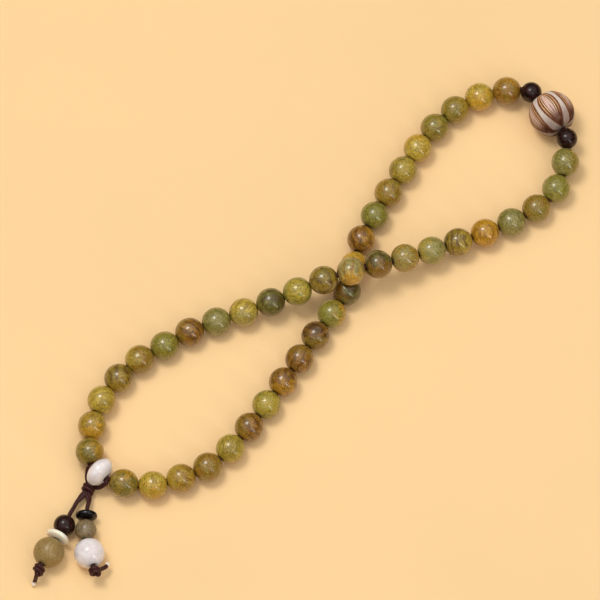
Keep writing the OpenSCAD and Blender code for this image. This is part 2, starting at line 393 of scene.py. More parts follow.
def petals_tree():
    """Cuts pointed petals into a ball: each is a folded angle about the hole, set against a
    bow that swells from the petal's tip and closes again near the dark end."""
    tree = bpy.data.node_groups.new("Carved petals", "GeometryNodeTree")
    add_socket(tree, "Ball", "Geometry")
    add_socket(tree, "Petals", "Float", 6.0)
    add_socket(tree, "Turn", "Float", 0.0)
    add_socket(tree, "Petal Tip", "Float", 0.13)
    add_socket(tree, "Petal End", "Float", 0.94)
    add_socket(tree, "Half Width", "Float", math.radians(22))
    add_socket(tree, "Groove Depth", "Float", 0.14 * MM)
    add_socket(tree, "Unevenness", "Float", 0.09)
    add_socket(tree, "Carved", "Geometry", way="OUTPUT")
    given = add_node(tree, "NodeGroupInput").outputs
    place = add_node(tree, "GeometryNodeInputPosition").outputs[0]
    xyz = add_node(tree, "ShaderNodeSeparateXYZ", {0: place}).outputs
    flat = vector_calculate(tree, "MULTIPLY", place, (1.0, 1.0, 0.0))
    reach = times(tree, vector_calculate(tree, "LENGTH", flat), 1 / MM)
    height = times(tree, xyz[2], 1 / MM)
    polar = calculate(tree, "ARCTAN2", reach, height)
    angle = plus(tree, calculate(tree, "ARCTAN2", xyz[1], xyz[0]), given["Turn"])
    step = calculate(tree, "DIVIDE", math.tau, given["Petals"])
    turns = plus(tree, calculate(tree, "DIVIDE", angle, step), 0.5)
    share = minus(tree, calculate(tree, "FRACT", turns), 0.5)
    fold = times(tree, calculate(tree, "ABSOLUTE", share), step)
    along = calculate(tree, "DIVIDE", polar, math.pi)
    span = minus(tree, given["Petal End"], given["Petal Tip"])
    run = calculate(tree, "DIVIDE", minus(tree, along, given["Petal Tip"]), span)
    run = calculate(tree, "MINIMUM", calculate(tree, "MAXIMUM", run, 0.0), 1.0)
    bow = calculate(tree, "SINE", times(tree, calculate(tree, "POWER", run, 0.75), math.pi))
    bow = calculate(tree, "POWER", calculate(tree, "MAXIMUM", bow, 0.0), 0.8)
    wander = times(tree, minus(tree, noise_of(tree, place, 300.0, 2.0), 0.5), given["Unevenness"])
    depth = minus(tree, bow, calculate(tree, "DIVIDE", fold, given["Half Width"]))
    depth = plus(tree, depth, wander)
    ridge = times(tree, fold, reach)

    def groove(at, half):
        gap = calculate(tree, "ABSOLUTE", minus(tree, depth, at))
        return eased(tree, gap, 0.0, half, 1.0, 0.0)

    open_end = eased(tree, polar, math.radians(148), math.radians(166), 1.0, 0.0)
    cut = plus(tree, groove(0.0, 0.13),
        plus(tree, times(tree, groove(0.34, 0.1), 0.8),
                  times(tree, groove(0.6, 0.07), 0.5)),
    )
    cut = times(tree, cut, open_end)
    push = times(tree, times(tree, cut, given["Groove Depth"]), -1.0)
    on_skin = eased(tree, reach, 1.6, 2.6)
    offset = scaled(
        tree, add_node(tree, "GeometryNodeInputNormal").outputs[0],
        times(tree, push, on_skin),
    )
    geometry = store(tree, given["Ball"], "petal_depth", depth)
    geometry = store(tree, geometry, "petal_ridge", ridge)
    geometry = store(tree, geometry, "petal_polar", polar)
    moved = add_node(tree, "GeometryNodeSetPosition", {"Geometry": geometry, "Offset": offset})
    add_node(tree, "NodeGroupOutput", {0: moved.outputs[0]})
    return tree


def cord_tree():
    """Sweeps a round cord with a faint lay of its strands along a route."""
    tree = bpy.data.node_groups.new("Waxed cord", "GeometryNodeTree")
    add_socket(tree, "Route", "Geometry")
    add_socket(tree, "Diameter", "Float", 1.2 * MM)
    add_socket(tree, "Sides", "Int", 14)
    add_socket(tree, "Ring Spacing", "Float", 0.25 * MM)
    add_socket(tree, "Strand Depth", "Float", 0.02 * MM)
    add_socket(tree, "Strand Lay", "Float", 3.4)
    add_socket(tree, "Material", "Material")
    add_socket(tree, "Cord", "Geometry", way="OUTPUT")
    given = add_node(tree, "NodeGroupInput").outputs
    fine = add_node(
        tree, "GeometryNodeResampleCurve",
        {"Curve": given["Route"], "Length": given["Ring Spacing"]}, mode="LENGTH",
    )
    spline = add_node(tree, "GeometryNodeSplineParameter").outputs
    along = times(tree, spline["Length"], 1 / MM)
    route = store(tree, fine.outputs[0], "cord_along", along)
    ring = add_node(
        tree, "GeometryNodeCurvePrimitiveCircle",
        {"Resolution": given["Sides"], "Radius": calculate(tree, "DIVIDE", given["Diameter"], 2.0)},
    )
    round_curve = store(tree, ring.outputs[0], "cord_round", spline["Factor"])
    swept = add_node(
        tree, "GeometryNodeCurveToMesh",
        {"Curve": route, "Profile Curve": round_curve, "Fill Caps": True,
         "Scale": add_node(tree, "GeometryNodeInputRadius").outputs[0]},
    )

    def read(name):
        return add_node(
            tree, "GeometryNodeInputNamedAttribute", {"Name": name}, data_type="FLOAT"
        ).outputs["Attribute"]

    turn = plus(tree, times(tree, read("cord_round"), math.tau * 3),
        calculate(tree, "DIVIDE", times(tree, read("cord_along"), math.tau),
                  given["Strand Lay"]),
    )
    furrow = times(tree, calculate(tree, "SINE", turn), given["Strand Depth"])
    offset = scaled(tree, add_node(tree, "GeometryNodeInputNormal").outputs[0], furrow)
    moved = add_node(tree, "GeometryNodeSetPosition", {"Geometry": swept.outputs[0], "Offset": offset})
    smooth = add_node(tree, "GeometryNodeSetShadeSmooth", {"Geometry": moved.outputs[0]})
    real = add_node(tree, "GeometryNodeRealizeInstances", {0: smooth.outputs[0]})
    done = add_node(
        tree, "GeometryNodeSetMaterial",
        {"Geometry": real.outputs[0], "Material": given["Material"]},
    )
    add_node(tree, "NodeGroupOutput", {0: done.outputs[0]})
    return tree


TREES = {"turned": turned_tree, "threaded": threaded_tree, "petals": petals_tree, "cord": cord_tree}
made_trees = {}


def tree_named(name):
    if name not in made_trees:
        made_trees[name] = TREES[name]()
    return made_trees[name]


def add_modifier(obj, tree, values):
    """A geometry nodes modifier whose inputs are set by socket identifier."""
    modifier = obj.modifiers.new(tree.name, "NODES")
    modifier.node_group = tree
    for item in tree.interface.items_tree:
        if item.in_out == "INPUT" and item.name in values:
            modifier[item.identifier] = values[item.name]
    return modifier


def link(obj):
    bpy.context.scene.collection.objects.link(obj)
    return obj


def settled(obj, name):
    """The object as its modifiers leave it, as a plain mesh at the origin."""
    bpy.context.view_layer.update()
    graph = bpy.context.evaluated_depsgraph_get()
    mesh = bpy.data.meshes.new_from_object(
        obj.evaluated_get(graph), preserve_all_data_layers=True, depsgraph=graph
    )
    mesh.name = name
    bpy.data.objects.remove(obj)
    return link(bpy.data.objects.new(name, mesh))


# ---------------------------------------------------------------- materials

def shader_group(name, inputs, outputs):
    tree = bpy.data.node_groups.new(name, "ShaderNodeTree")
    for socket, kind, default in inputs:
        add_socket(tree, socket, kind, default)
    for socket, kind in outputs:
        add_socket(tree, socket, kind, way="OUTPUT")
    return tree, add_node(tree, "NodeGroupInput").outputs


def grain_group():
    """Fine fibres and open pores of wood. The vector is in millimetres, fibres along its Z."""
    tree, given = shader_group(
        "Wood grain",
        [("Vector", "Vector", None), ("Fibre Scale", "Float", 5.0), ("Pore Amount", "Float", 0.5)],
        [("Fibre", "Float"), ("Pores", "Float"), ("Height", "Float")],
    )
    drawn = vector_calculate(tree, "MULTIPLY", given["Vector"], (1.0, 1.0, 0.13))
    fibre = noise_of(tree, drawn, given["Fibre Scale"], 5.0, 0.62, 0.3)
    slots = vector_calculate(tree, "MULTIPLY", given["Vector"], (1.0, 1.0, 0.22))
    cells = add_node(
        tree, "ShaderNodeTexVoronoi", {"Vector": slots, "Scale": 4.2, "Randomness": 1.0}
    ).outputs["Distance"]
    kept = eased(tree, noise_of(tree, given["Vector"], 1.3, 2.0), 0.5, 0.66)
    pores = times(tree, eased(tree, cells, 0.05, 0.2, 1.0, 0.0), kept)
    pores = times(tree, pores, given["Pore Amount"])
    height = minus(tree, times(tree, fibre, 0.5), pores)
    add_node(tree, "NodeGroupOutput", {"Fibre": fibre, "Pores": pores, "Height": height})
    return tree


def cloud_group():
    """Clouds, veils and thin healed cracks of a translucent stone, in millimetres."""
    tree, given = shader_group(
        "Cloudy stone",
        [("Vector", "Vector", None), ("Cloud Scale", "Float", 0.35), ("Crack Scale", "Float", 0.5)],
        [("Clouds", "Float"), ("Cracks", "Float")],
    )
    clouds = noise_of(tree, given["Vector"], given["Cloud Scale"], 4.0, 0.6, 0.8)
    bent = noise_of(tree, given["Vector"], given["Crack Scale"], 3.0, 0.55, 1.6)
    gap = calculate(tree, "ABSOLUTE", minus(tree, bent, 0.5))
    broken = eased(tree, noise_of(tree, given["Vector"], 0.9, 2.0), 0.42, 0.62)
    cracks = times(tree, eased(tree, gap, 0.0, 0.018, 1.0, 0.0), broken)
    add_node(tree, "NodeGroupOutput", {"Clouds": clouds, "Cracks": cracks})
    return tree


def shade_and_wear_group():
    """Painted shade round a piece's hole, where the pieces beside it meet it, and fine rubbing all over."""
    tree, given = shader_group(
        "Mouth shade and rubbing",
        [("Bead Place", "Vector", None), ("Reach", "Float", 1.9)],
        [("Mouth Shade", "Float"), ("Rubbing", "Float")],
    )
    flat = vector_calculate(tree, "MULTIPLY", given["Bead Place"], (1.0, 1.0, 0.0))
    reach = vector_calculate(tree, "LENGTH", flat)
    ragged = times(tree, noise_of(tree, given["Bead Place"], 1.6, 3.0), 0.9)
    # painted shade: darker round the hole, where the next piece meets this one
    mouth_shade = eased(tree, plus(tree, reach, ragged), 1.0, given["Reach"], 1.0, 0.0)
    scratches = vector_calculate(tree, "MULTIPLY", given["Bead Place"], (0.5, 3.0, 0.6))
    rubbing = noise_of(tree, scratches, 1.7, 5.0, 0.7, 0.4)
    add_node(tree, "NodeGroupOutput", {"Mouth Shade": mouth_shade, "Rubbing": rubbing})
    return tree


GROUPS = {"grain": grain_group, "cloud": cloud_group, "shade_and_wear": shade_and_wear_group}
made_groups = {}


def group_node(tree, name, inputs):
    if name not in made_groups:
        made_groups[name] = GROUPS[name]()
    return add_node_group(tree, made_groups[name], inputs)


def add_node_group(tree, group, inputs):
    node = tree.nodes.new("ShaderNodeGroup")
    node.node_tree = group
    for key, value in inputs.items():
        if isinstance(value, bpy.types.NodeSocket):
            tree.links.new(value, node.inputs[key])
        else:
            node.inputs[key].default_value = value
    return node.outputs


def tinted(tree, colour, shade, value, low, high, most):
    """Turns the colour towards a screen tone as the value goes from low to high."""
    return blended(tree, eased(tree, value, low, high, 0.0, most), colour, tone(*shade))


def stained(tree, colour, shade, mask, amount):
    """Turns the colour towards a screen tone by an amount of the mask."""
    return blended(tree, times(tree, mask, amount), colour, tone(*shade))


def new_material(name):
    """An empty node material and its Principled shader, already wired to the output."""
    material = bpy.data.materials.new(name)
    material.use_nodes = True
    tree = material.node_tree
    tree.nodes.clear()
    shader = tree.nodes.new("ShaderNodeBsdfPrincipled")
    add_node(tree, "ShaderNodeOutputMaterial", {"Surface": shader.outputs[0]})
    return material, tree, shader


def attribute(tree, name, output="Vector"):
    node = tree.nodes.new("ShaderNodeAttribute")
    node.attribute_name = name
    return node.outputs[output]


def grain_of(tree, fibre_scale, pore_amount):
    return group_node(tree, "grain", {
        "Vector": attribute(tree, "grain_at"), "Fibre Scale": fibre_scale,
        "Pore Amount": pore_amount,
    })


def clouds_of(tree, cloud_scale, crack_scale):
    return group_node(tree, "cloud", {
        "Vector": attribute(tree, "grain_at"), "Cloud Scale": cloud_scale,
        "Crack Scale": crack_scale,
    })


def shade_and_wear_of(tree, reach):
    return group_node(tree, "shade_and_wear", {"Bead Place": attribute(tree, "bead_at"), "Reach": reach})


def set_shader(tree, shader, **inputs):
    for name, value in inputs.items():
        socket = shader.inputs[name.replace("_", " ")]
        if isinstance(value, bpy.types.NodeSocket):
            tree.links.new(value, socket)
        else:
            socket.default_value = value


def add_bump(tree, shader, height, strength, distance):
    bump = add_node(
        tree, "ShaderNodeBump", {"Strength": strength, "Distance": distance, "Height": height}
    )
    tree.links.new(bump.outputs[0], shader.inputs["Normal"])


def green_wood():
    """Polished green wood: each bead brings its own tones, and the figure is shared."""
    material, tree, shader = new_material("green_wood")
    grain_at = attribute(tree, "grain_at")
    main = attribute(tree, "main_tone", "Color")
    vein = attribute(tree, "vein_tone", "Color")
    patch = attribute(tree, "patch_tone", "Color")
    side = attribute(tree, "patch_side", "Fac")
    grain = grain_of(tree, 4.5, 0.7)
    shade_and_wear = shade_and_wear_of(tree, 2.3)
    waves = add_node(
        tree, "ShaderNodeTexWave",
        {"Vector": grain_at, "Scale": 0.15, "Distortion": 7.0, "Detail": 3.0, "Detail Scale": 1.4,
         "Detail Roughness": 0.62},
        wave_type="BANDS", bands_direction="X", wave_profile="SIN",
    ).outputs["Fac"]
    bands = eased(tree, waves, 0.45, 1.0)
    blotches = noise_of(tree, grain_at, 0.55, 5.0, 0.62, 0.9)
    lighter = blended(tree, 0.45, main, tone(196, 180, 112))
    colour = blended(tree, eased(tree, blotches, 0.46, 0.74, 0.0, 0.6), main, lighter)
    colour = blended(tree, times(tree, bands, 0.6), colour, vein)
    ring = calculate(tree, "ABSOLUTE", minus(tree, waves, 0.62))
    ring = times(tree, eased(tree, ring, 0.02, 0.11, 1.0, 0.0), eased(
        tree, noise_of(tree, grain_at, 0.5, 2.0), 0.44, 0.6))
    colour = stained(tree, colour, (88, 62, 20), ring, 0.6)
    mottle = noise_of(tree, grain_at, 1.9, 4.0, 0.62, 1.2)
    colour = blended(tree, eased(tree, mottle, 0.5, 0.68, 0.0, 0.6), colour, vein)
    edge = plus(tree, side,
        times(tree, minus(tree, noise_of(tree, grain_at, 0.42, 4.0, 0.6, 0.6), 0.5), 3.4),
    )
    colour = blended(tree, eased(tree, edge, 0.2, 0.95, 0.0, 0.62), colour, patch)
    fibres = eased(tree, grain["Fibre"], 0.36, 0.66, 0.48, 1.36)
    colour = blended(tree, 1.0, colour, add_node(
        tree, "ShaderNodeCombineColor", {0: fibres, 1: fibres, 2: fibres}).outputs[0], "MULTIPLY")
    colour = stained(tree, colour, (58, 40, 18), grain["Pores"], 0.8)
    # painted shade: dark brown round the hole, where the next bead meets this one
    colour = stained(tree, colour, (48, 32, 16), shade_and_wear["Mouth Shade"], 0.75)
    rough = eased(tree, shade_and_wear["Rubbing"], 0.3, 0.75, 0.29, 0.42)
    rough = plus(tree, rough, times(tree, grain["Pores"], 0.3))
    set_shader(tree, shader, Base_Color=colour, Roughness=rough, Specular_IOR_Level=0.28,
               Coat_Weight=0.85, Coat_Roughness=0.1, Coat_IOR=1.47)
    add_bump(tree, shader, grain["Height"], 0.35, 0.04 * MM)
    return material


def dry_green_wood():
    """Sanded green wood without polish: open fibres run along the hole."""
    material, tree, shader = new_material("dry_green_wood")
    grain_at = attribute(tree, "grain_at")
    grain = grain_of(tree, 3.4, 0.35)
    shade_and_wear = shade_and_wear_of(tree, 2.1)
    drawn = vector_calculate(tree, "MULTIPLY", grain_at, (1.0, 1.0, 0.09))
    streaks = noise_of(tree, drawn, 2.2, 6.0, 0.7, 0.2)
    colour = blended(tree, eased(tree, streaks, 0.36, 0.66), tone(132, 106, 54), tone(166, 140, 84))
    tint = noise_of(tree, grain_at, 0.28, 3.0, 0.5, 0.4)
    colour = tinted(tree, colour, (150, 112, 50), tint, 0.46, 0.66, 0.6)
    pale = eased(tree, grain["Fibre"], 0.52, 0.7, 0.0, 0.5)
    colour = blended(tree, pale, colour, tone(184, 164, 110))
    # painted shade: dark brown round the hole, where the next piece meets this one
    colour = stained(tree, colour, (58, 40, 22), shade_and_wear["Mouth Shade"], 0.7)
    rough = eased(tree, streaks, 0.3, 0.7, 0.42, 0.56)
    set_shader(tree, shader, Base_Color=colour, Roughness=rough, Coat_Weight=0.2,
               Coat_Roughness=0.2)
    add_bump(tree, shader, plus(tree, streaks, grain["Height"]), 0.5, 0.06 * MM)
    return material


def rosewood(settings):
    """Dark rosewood polished to a gloss, with red light in its grain."""
    material, tree, shader = new_material("dark_rosewood")
    grain_at = attribute(tree, "grain_at")
    grain = grain_of(tree, 3.6, 0.8)
    shade_and_wear = shade_and_wear_of(tree, 1.8)
    waves = add_node(
        tree, "ShaderNodeTexWave",
        {"Vector": grain_at, "Scale": 0.3, "Distortion": 4.0, "Detail": 3.0, "Detail Scale": 1.2},
        wave_type="BANDS", bands_direction="X",
    ).outputs["Fac"]
    dark = tone(24, 11, 10)
    colour = blended(tree, eased(tree, waves, 0.2, 0.9), dark, opaque(settings.rosewood))
    colour = tinted(tree, colour, (84, 36, 26), grain["Fibre"], 0.5, 0.72, 0.55)
    colour = stained(tree, colour, (12, 6, 6), grain["Pores"], 0.8)
    rough = eased(tree, shade_and_wear["Rubbing"], 0.3, 0.8, 0.14, 0.26)
    set_shader(tree, shader, Base_Color=colour, Roughness=rough, Specular_IOR_Level=0.32)
    add_bump(tree, shader, grain["Height"], 0.25, 0.03 * MM)
    return material


def milky_quartz(settings):
    """White quartz: milky body with light inside it, veils and a few healed cracks."""
    material, tree, shader = new_material("milky_quartz")
    grain_at = attribute(tree, "grain_at")
    clouds = clouds_of(tree, 0.32, 0.3)
    shade_and_wear = shade_and_wear_of(tree, 1.7)
    colour = blended(tree, eased(tree, clouds["Clouds"], 0.36, 0.66), tone(228, 218, 218),
                     opaque(settings.quartz))
    colour = stained(tree, colour, (246, 240, 238), clouds["Cracks"], 0.3)
    # painted shade: brownish round the hole, where the next piece meets this one
    colour = stained(tree, colour, (120, 84, 74), shade_and_wear["Mouth Shade"], 0.45)
    rough = eased(tree, shade_and_wear["Rubbing"], 0.3, 0.8, 0.08, 0.16)
    set_shader(tree, shader, Base_Color=colour, Roughness=rough, Subsurface_Weight=0.75,
               Subsurface_Scale=2.2 * MM, IOR=1.54)
    shader.inputs["Subsurface Radius"].default_value = (1.0, 0.86, 0.8)
    add_bump(tree, shader, clouds["Clouds"], 0.05, 0.05 * MM)
    return material


def white_shell(settings):
    """Cream-white shell disc with faint layers across its thickness."""
    material, tree, shader = new_material("white_shell")
    bead_at = attribute(tree, "bead_at")
    shade_and_wear = shade_and_wear_of(tree, 1.9)
    layers = vector_calculate(tree, "MULTIPLY", bead_at, (0.25, 0.25, 3.2))
    layer = noise_of(tree, layers, 1.2, 4.0, 0.6, 0.5)
    colour = blended(tree, eased(tree, layer, 0.35, 0.7), tone(246, 234, 204),
                     opaque(settings.shell))
    # painted shade: brown round the hole, where the next piece meets this one
    colour = stained(tree, colour, (140, 104, 66), shade_and_wear["Mouth Shade"], 0.6)
    rough = eased(tree, shade_and_wear["Rubbing"], 0.3, 0.8, 0.2, 0.34)
    set_shader(tree, shader, Base_Color=colour, Roughness=rough, Subsurface_Weight=0.3,
               Subsurface_Scale=0.6 * MM, Coat_Weight=0.2, Coat_Roughness=0.12)
    add_bump(tree, shader, layer, 0.2, 0.03 * MM)
    return material


def black_stone(settings):
    """Polished black stone with a trace of grey in it."""
    material, tree, shader = new_material("black_stone")
    clouds = clouds_of(tree, 0.9, 0.6)
    shade_and_wear = shade_and_wear_of(tree, 1.7)
    colour = blended(tree, eased(tree, clouds["Clouds"], 0.5, 0.8), opaque(settings.black),
                     tone(20, 18, 19))
    rough = eased(tree, shade_and_wear["Rubbing"], 0.3, 0.8, 0.07, 0.16)
    set_shader(tree, shader, Base_Color=colour, Roughness=rough, Specular_IOR_Level=0.4)
    add_bump(tree, shader, clouds["Clouds"], 0.05, 0.03 * MM)
    return material


def smoky_stone(settings):
    """Olive-grey stone, slightly clear, with a fine grain."""
    material, tree, shader = new_material("smoky_stone")
    grain_at = attribute(tree, "grain_at")
    clouds = clouds_of(tree, 0.6, 0.55)
    shade_and_wear = shade_and_wear_of(tree, 1.8)
    fine = noise_of(tree, grain_at, 4.0, 4.0, 0.7)
    colour = blended(tree, eased(tree, clouds["Clouds"], 0.38, 0.66), tone(112, 92, 58),
                     opaque(settings.smoky))
    colour = tinted(tree, colour, (168, 156, 134), fine, 0.5, 0.74, 0.45)
    colour = stained(tree, colour, (190, 180, 160), clouds["Cracks"], 0.4)
    rough = eased(tree, shade_and_wear["Rubbing"], 0.3, 0.8, 0.22, 0.36)
    set_shader(tree, shader, Base_Color=colour, Roughness=rough, Subsurface_Weight=0.25,
               Subsurface_Scale=1.0 * MM)
    add_bump(tree, shader, fine, 0.1, 0.03 * MM)
    return material


def carved_seed(settings):
    """Pale seed with petals cut and burnt into it: cream ground, tan bands, dark lines."""
    material, tree, shader = new_material("carved_seed")
    depth = attribute(tree, "petal_depth", "Fac")
    ridge = attribute(tree, "petal_ridge", "Fac")
    polar = attribute(tree, "petal_polar", "Fac")
    grain_at = attribute(tree, "grain_at")
    grain = grain_of(tree, 5.0, 0.3)
    shade_and_wear = shade_and_wear_of(tree, 2.4)
    speckle = noise_of(tree, grain_at, 6.5, 3.0, 0.85)
    cream = blended(
        tree, eased(tree, speckle, 0.36, 0.62), tone(204, 184, 168), opaque(settings.seed)
    )
    tan = blended(
        tree, eased(tree, grain["Fibre"], 0.35, 0.66), tone(204, 148, 96), opaque(settings.tan)
    )
    peach = blended(
        tree, eased(tree, grain["Fibre"], 0.4, 0.66), tone(222, 178, 134),
        tone(240, 204, 162),
    )
    heart = blended(
        tree, eased(tree, speckle, 0.36, 0.62), tone(210, 168, 150), tone(230, 196, 180)
    )
    colour = blended(tree, eased(tree, depth, 0.02, 0.12), cream, tan)
    colour = blended(tree, eased(tree, depth, 0.34, 0.42), colour, peach)
    colour = blended(tree, eased(tree, depth, 0.58, 0.66), colour, heart)

    def line(at, half, soft):
        gap = calculate(tree, "ABSOLUTE", minus(tree, depth, at))
        return eased(tree, gap, half, half + soft, 1.0, 0.0)

    slit_gap = eased(tree, ridge, 0.08, 0.2, 1.0, 0.0)
    slit_span = times(tree, eased(tree, polar, math.radians(80), math.radians(92)),
        eased(tree, polar, math.radians(124), math.radians(138), 1.0, 0.0),
    )
    slit = times(tree, times(tree, slit_gap, slit_span), 0.8)
    lines = calculate(tree, "MAXIMUM", line(0.0, 0.09, 0.05), line(0.34, 0.055, 0.05))
    lines = calculate(tree, "MAXIMUM", lines, times(tree, line(0.6, 0.03, 0.04), 0.9))
    lines = calculate(tree, "MAXIMUM", lines, slit)
    scorch = eased(
        tree, plus(tree, polar, times(tree, noise_of(tree, grain_at, 1.2, 3.0), 0.3)),
        math.radians(100), math.radians(140),
    )
    inside = eased(tree, depth, -0.25, 0.05, 0.3, 1.0)
    lines = calculate(tree, "MAXIMUM", lines, times(tree, scorch, inside))
    uneven = eased(tree, noise_of(tree, grain_at, 0.9, 3.0), 0.3, 0.6, 0.78, 1.0)
    burn = blended(tree, eased(tree, grain["Fibre"], 0.4, 0.7), opaque(settings.burn),
                   tone(106, 38, 10))
    colour = blended(tree, times(tree, lines, uneven), colour, burn)
    halo = times(tree, line(0.0, 0.09, 0.12), 0.35)
    colour = blended(tree, halo, colour, tone(150, 84, 40))
    colour = blended(tree, times(tree, scorch, 0.4), colour, tone(112, 40, 14), "MULTIPLY")
    rough = eased(tree, lines, 0.0, 1.0, 0.46, 0.58)
    set_shader(tree, shader, Base_Color=colour, Roughness=rough, Specular_IOR_Level=0.3,
               Subsurface_Weight=0.04, Subsurface_Scale=0.4 * MM)
    height = minus(tree, times(tree, grain["Height"], 0.25), times(tree, lines, 0.8))
    height = plus(tree, height, times(tree, shade_and_wear["Rubbing"], 0.15))
    add_bump(tree, shader, height, 0.5, 0.08 * MM)
    return material


def waxed_cord(settings):
    """Dark maroon cord with wax on its fibres. Its cut ends show the pale core."""
    material, tree, shader = new_material("waxed_cord")
    along = attribute(tree, "cord_along", "Fac")
    round_at = attribute(tree, "cord_round", "Fac")
    turn = times(tree, round_at, math.tau)
    skin = add_node(
        tree, "ShaderNodeCombineXYZ",
        {0: times(tree, calculate(tree, "COSINE", turn), 1.6),
         1: times(tree, calculate(tree, "SINE", turn), 1.6),
         2: times(tree, along, 0.55)},
    ).outputs[0]
    fibre = noise_of(tree, skin, 3.2, 5.0, 0.68, 0.5)
    wax = noise_of(tree, skin, 0.8, 3.0, 0.5)
    maroon = opaque(settings.maroon)
    colour = blended(tree, eased(tree, fibre, 0.34, 0.68), tone(40, 15, 13), maroon)
    colour = tinted(tree, colour, (108, 60, 54), fibre, 0.56, 0.76, 0.5)
    colour = tinted(tree, colour, (98, 58, 54), wax, 0.54, 0.72, 0.25)
    cut = attribute(tree, "cut_end", "Fac")
    colour = blended(tree, cut, colour, opaque(settings.core))
    rough = eased(tree, wax, 0.35, 0.7, 0.36, 0.56)
    set_shader(tree, shader, Base_Color=colour, Roughness=rough, Specular_IOR_Level=0.25)
    add_bump(tree, shader, fibre, 0.45, 0.05 * MM)
    return material


made_materials = {}


def material_named(name):
    stones = bpy.context.scene.misbaha_stones
    makers = {
        "green_wood": green_wood,
        "matte_green_wood": dry_green_wood,
        "dark_wood": lambda: rosewood(stones),
        "milky_quartz": lambda: milky_quartz(stones),
        "white_shell": lambda: white_shell(stones),
        "black_stone": lambda: black_stone(stones),
        "olive_stone": lambda: smoky_stone(stones),
        "carved_seed": lambda: carved_seed(stones),
        "waxed_cord": lambda: waxed_cord(bpy.context.scene.misbaha_cord),
    }
    if name not in made_materials:
        made_materials[name] = makers[name]()
    return made_materials[name]


# ---------------------------------------------------------------- turned pieces

def ball_outline(diameter, hole, mouth, steps=44, longer=0.0):
    """Half outline of a ball between the two mouths of its hole, as (radius, height)."""
    radius = diameter / 2
    last = math.acos((hole / 2 + mouth) / radius)
    return [
        (radius * math.cos(a), (radius + longer) * math.sin(a))
        for a in (last * (2 * i / steps - 1) for i in range(steps + 1))
    ]


def cushion_outline(diameter, length, hole, mouth, power, steps=40):
    """The same for a flattened piece: power 2 is an ellipse and a higher one is squarer."""
    last = math.acos(((hole / 2 + mouth) / (diameter / 2)) ** (power / 2))
    points = []
    for i in range(steps + 1):
        a = last * (2 * i / steps - 1)
        height = abs(math.sin(a)) ** (2 / power) * math.copysign(length / 2, a)
        points.append((diameter / 2 * math.cos(a) ** (2 / power), height))
    return points


def seed_outline(diameter, length, hole, mouth, steps=150):
    """A ball with two flat ends, whose rims are rounded."""
    radius = diameter / 2
    soft = 0.5 * MM
    points = []
    for r, h in ball_outline(diameter, hole, mouth, steps):
        over = abs(h) - (length / 2 - soft)
        if over > 0:
            h = math.copysign(length / 2 - soft + soft * (1 - math.exp(-over / soft)), h)
        points.append((min(r, radius), h))
    return points


def close_outline(outer, hole, mouth):
    """Adds the rounded mouths and the wall of the hole, and measures from that wall."""
    points = list(outer)
    top = outer[-1][1]
    low = outer[0][1]
    for i in range(1, 5):
        a = math.radians(22.5 * i)
        points.append((hole / 2 + mouth * (1 - math.sin(a)), top - mouth * (1 - math.cos(a))))
    wall = 4
    for i in range(1, wall):
        points.append((hole / 2, (top - mouth) + (low - top + 2 * mouth) * i / wall))
    for i in range(4, 0, -1):
        a = math.radians(22.5 * i)
        points.append((hole / 2 + mouth * (1 - math.sin(a)), low + mouth * (1 - math.cos(a))))
    return [(radius - hole / 2, height) for radius, height in points]


def outline_object(points):
    mesh = bpy.data.meshes.new("outline")
    count = len(points)
    mesh.from_pydata(
        [(x, y, 0) for x, y in points], [(i, (i + 1) % count) for i in range(count)], []
    )
    return link(bpy.data.objects.new("outline", mesh))


def thread_piece(name, outer, hole, slot_name, seed, tones=None, side=None, sides=64,
                 wobble=0.0, petals=None, fibres_along=False):
    """Makes one turned piece and puts it on its body, in place of its CAD node."""
    middle, way = hole_of(name)
    chance = random.Random(seed)
    mouth = bpy.context.scene.misbaha_wood.mouth
    obj = outline_object(close_outline(outer, hole, mouth))
    add_modifier(obj, tree_named("turned"), {
        "Hole Diameter": hole, "Sides": sides, "Wobble": wobble, "Seed": float(seed),
    })
    if petals is not None:
        add_modifier(obj, tree_named("petals"), petals)
    turn = way.to_track_quat("Z", "Y")
    grain_turn = [chance.uniform(-math.pi, math.pi) for axis in range(3)]
    main, vein, patch = tones or (paint(128, 128, 128),) * 3
    add_modifier(obj, tree_named("threaded"), {
        "Place": middle,
        "Turn": turn.to_euler(),
        "Grain Turn": (0.0, 0.0, grain_turn[2]) if fibres_along else grain_turn,
        "Grain Shift": [chance.uniform(-40, 40) for axis in range(3)],
        "Main Tone": opaque(main),
        "Vein Tone": opaque(vein),
        "Patch Tone": opaque(patch),
        "Patch Side": side or Vector((0, 0, -1)),
        "Material": material_named(slot_name),
    })
    body = body_of(frame["nodes"][name])[0]
    piece = settled(obj, name.replace("wood_bead", "green_bead") + "_turned")
    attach(piece, body)
    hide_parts(name)
    return piece


# Sides of a bead on which its patch of another tone lies
SIDES = {
    "left": Vector((-1, 1, 0.4)).normalized(),
    "right": Vector((1, -1, 0.4)).normalized(),
    "near": Vector((-1, -1, 0.3)).normalized(),
    "far": Vector((1, 1, 0.6)).normalized(),
    "top": Vector((-0.3, -0.3, 1)).normalized(),
}

